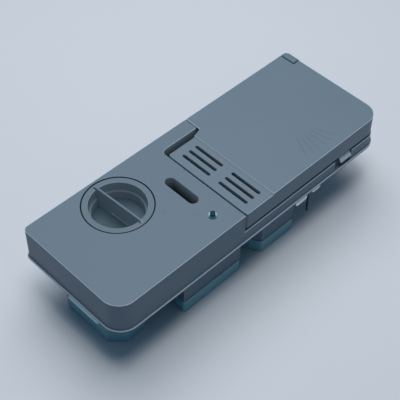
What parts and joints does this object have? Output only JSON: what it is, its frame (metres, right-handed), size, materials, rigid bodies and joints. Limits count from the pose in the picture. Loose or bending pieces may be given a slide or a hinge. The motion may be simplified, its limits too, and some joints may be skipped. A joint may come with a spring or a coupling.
{
  "type": "dishwasher detergent dispenser",
  "caption": "Dishwasher door dispenser with a flip lid over detergent cups, a bayonet rinse-aid cap, a level window, a rear tank and a solenoid latch.",
  "frame": {"origin": "middle of the outline, on the plane that the rear tank and covers stand on", "axes": "+X along the length towards the lid, +Y towards the lid's hinge, +Z out of the front face"},
  "size_m": [0.2422, 0.0902, 0.0648],
  "materials": {
    "grey_pp": "fine satin moulded polypropylene",
    "lid_pp": "fine satin moulded polypropylene",
    "natural_pp": "natural milky polypropylene",
    "seal_rubber": "matte elastomer",
    "bright_steel": "bright drawn steel",
    "spring_steel": "spring wire",
    "zinc_steel": "zinc-plated sheet",
    "clear_lens": "clear moulded acrylic",
    "white_pom": "natural acetal",
    "foam_float": "closed-cell float",
    "ferrite": "sintered ferrite",
    "black_plastic": "glass-filled polyamide",
    "enamel_wire": "enamelled copper wire"
  },
  "bodies": {
    "base": {"front_body": "grey_pp", "main_cup": "grey_pp", "prewash_cup": "grey_pp", "hinge_pin": "bright_steel", "lid_spring": "spring_steel", "indicator_lens": "clear_lens", "rinse_aid_tank": "natural_pp", "link_pipe": "natural_pp", "reed_switch": "black_plastic", "dosing_cover": "natural_pp", "actuator_cover": "natural_pp", "cover_screws": "zinc_steel", "piston_spring": "spring_steel", "outlet_valve": "seal_rubber", "solenoid_yoke": "zinc_steel", "coil_bobbin": "black_plastic", "coil_winding": "enamel_wire", "spade_terminals": "zinc_steel", "plunger_spring": "spring_steel", "flange_gasket": "seal_rubber", "near_clip": "zinc_steel", "far_clip": "zinc_steel", "left_clip": "zinc_steel"},
    "lid": {"lid": "lid_pp", "lid_seal": "seal_rubber"},
    "cap": {"rinse_aid_cap": "grey_pp", "cap_seal": "seal_rubber"},
    "dial": {"dosage_dial": "white_pom"},
    "drive": {"plunger": "bright_steel", "drive_slide": "white_pom", "latch_slide": "grey_pp"},
    "piston": {"dosing_piston": "white_pom", "piston_seal": "seal_rubber"},
    "float": {"level_float": "foam_float", "float_magnet": "ferrite"}
  },
  "joints": [
    {"name": "lid_hinge", "type": "hinge", "parent": "base", "child": "lid", "pos_m": [0, 0.0382, 0.0555], "axis": [-1, 0, 0], "range_deg": [0, 105], "deforming": ["lid_spring"]},
    {"name": "cap_twist", "type": "hinge", "parent": "base", "child": "cap", "pos_m": [-0.0648, 0.0182, 0.05], "axis": [0, 0, 1], "range_deg": [0, 90]},
    {"name": "dial_turn", "type": "hinge", "parent": "base", "child": "dial", "pos_m": [-0.0648, 0.0182, 0.04], "axis": [0, 0, 1], "range_deg": [0, 150]},
    {"name": "drive_travel", "type": "slide", "parent": "base", "child": "drive", "axis": [-1, 0, 0], "range_m": [0, 0.005], "stiffness_N_per_m": 200, "springref_m": -0.004, "deforming": ["plunger_spring"]},
    {"name": "piston_lift", "type": "slide", "parent": "base", "child": "piston", "axis": [0, 0, 1], "range_m": [0, 0.003], "deforming": ["piston_spring"]},
    {"name": "float_rise", "type": "slide", "parent": "base", "child": "float", "axis": [0, 0, 1], "range_m": [0, 0.014]}
  ],
  "couplings": [
    {"joint": "piston_lift", "follows": "drive_travel", "ratio": 0.6}
  ]
}
